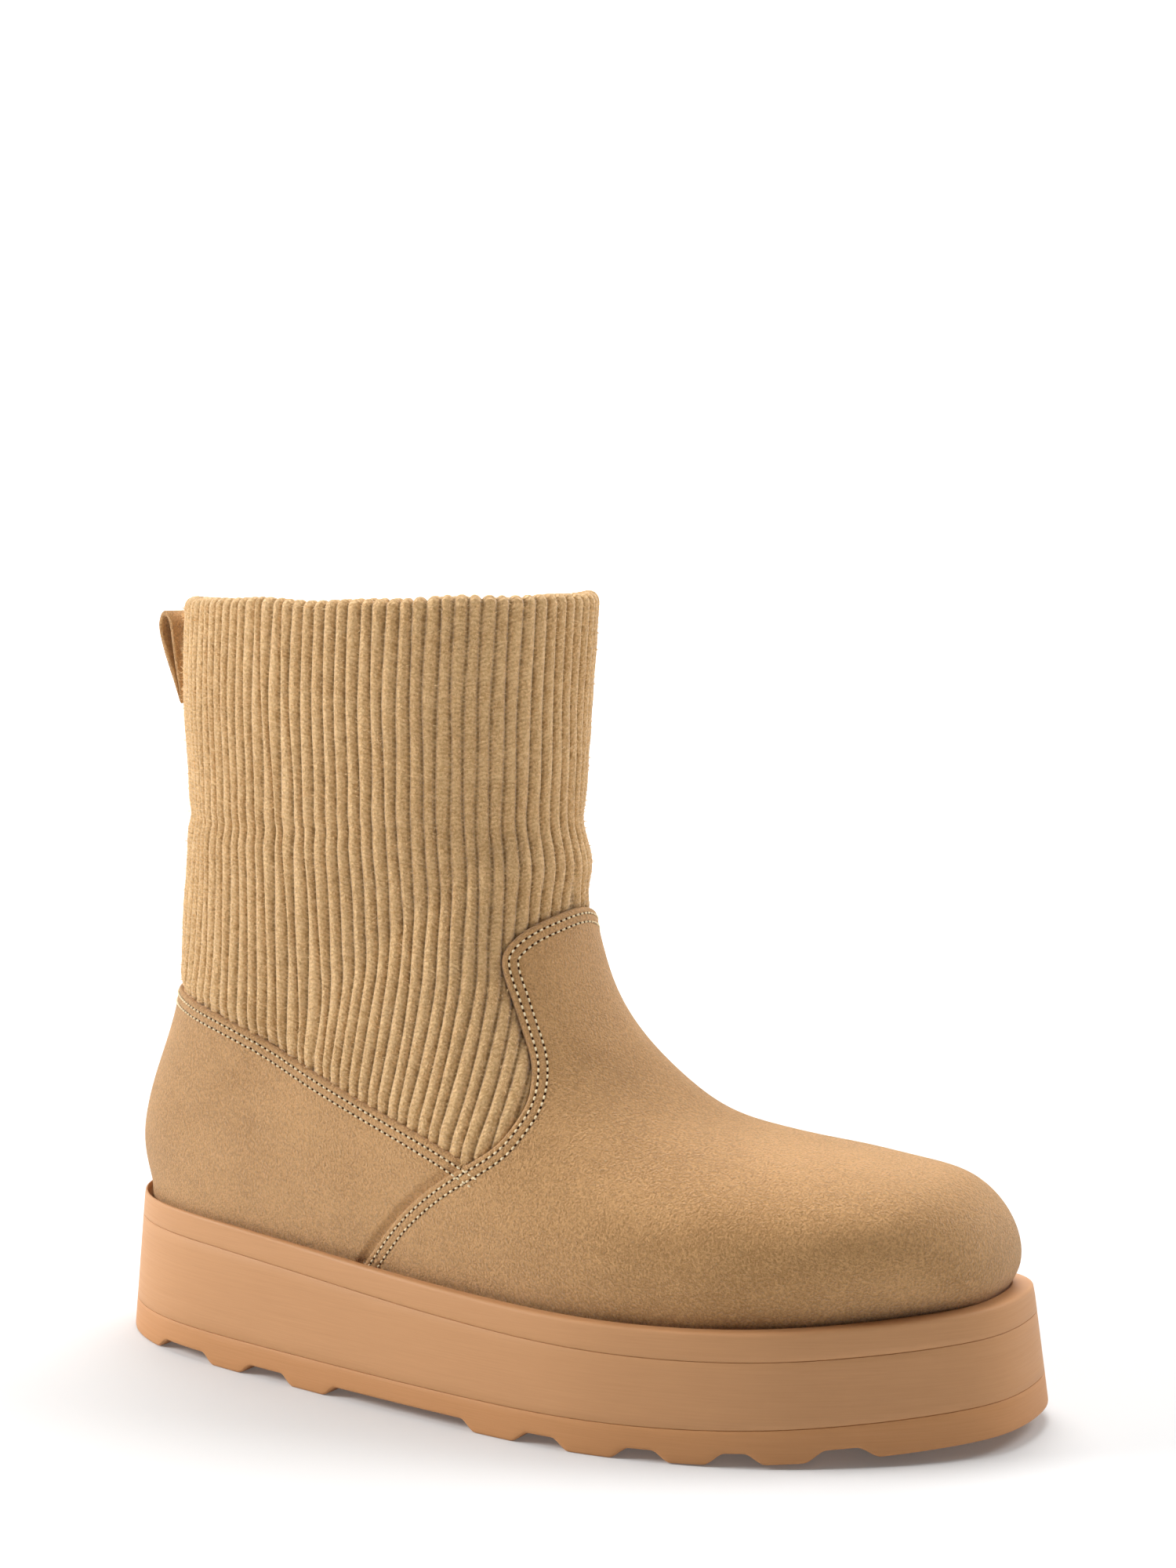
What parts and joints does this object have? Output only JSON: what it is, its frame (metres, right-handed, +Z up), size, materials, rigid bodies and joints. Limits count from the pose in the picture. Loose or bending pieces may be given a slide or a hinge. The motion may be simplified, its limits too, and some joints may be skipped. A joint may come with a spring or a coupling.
{
  "type": "sweater boot",
  "caption": "Right ankle boot: ribbed knit shaft, suede vamp and heel quarter, pull loop, thick flat layered sole with lugs.",
  "frame": {"origin": "on the floor, under the middle of the boot's box", "axes": "+X from heel to toe, +Y to the wearer's left (inner side of a right foot), +Z up"},
  "size_m": [0.289, 0.1082, 0.2235],
  "materials": {
    "gum_rubber": "satin gum rubber with fine lengthwise striations",
    "insole_felt": "soft brushed lining",
    "tan_knit": "fuzzy rib knit",
    "tan_suede": "brushed suede"
  },
  "bodies": {
    "root": {"outsole": "gum_rubber", "midsole": "gum_rubber", "welt": "gum_rubber", "insole": "insole_felt", "upper": "tan_knit", "vamp": "tan_suede", "heel_quarter": "tan_suede", "back_stay": "tan_suede", "pull_loop": "tan_suede"}
  },
  "joints": []
}
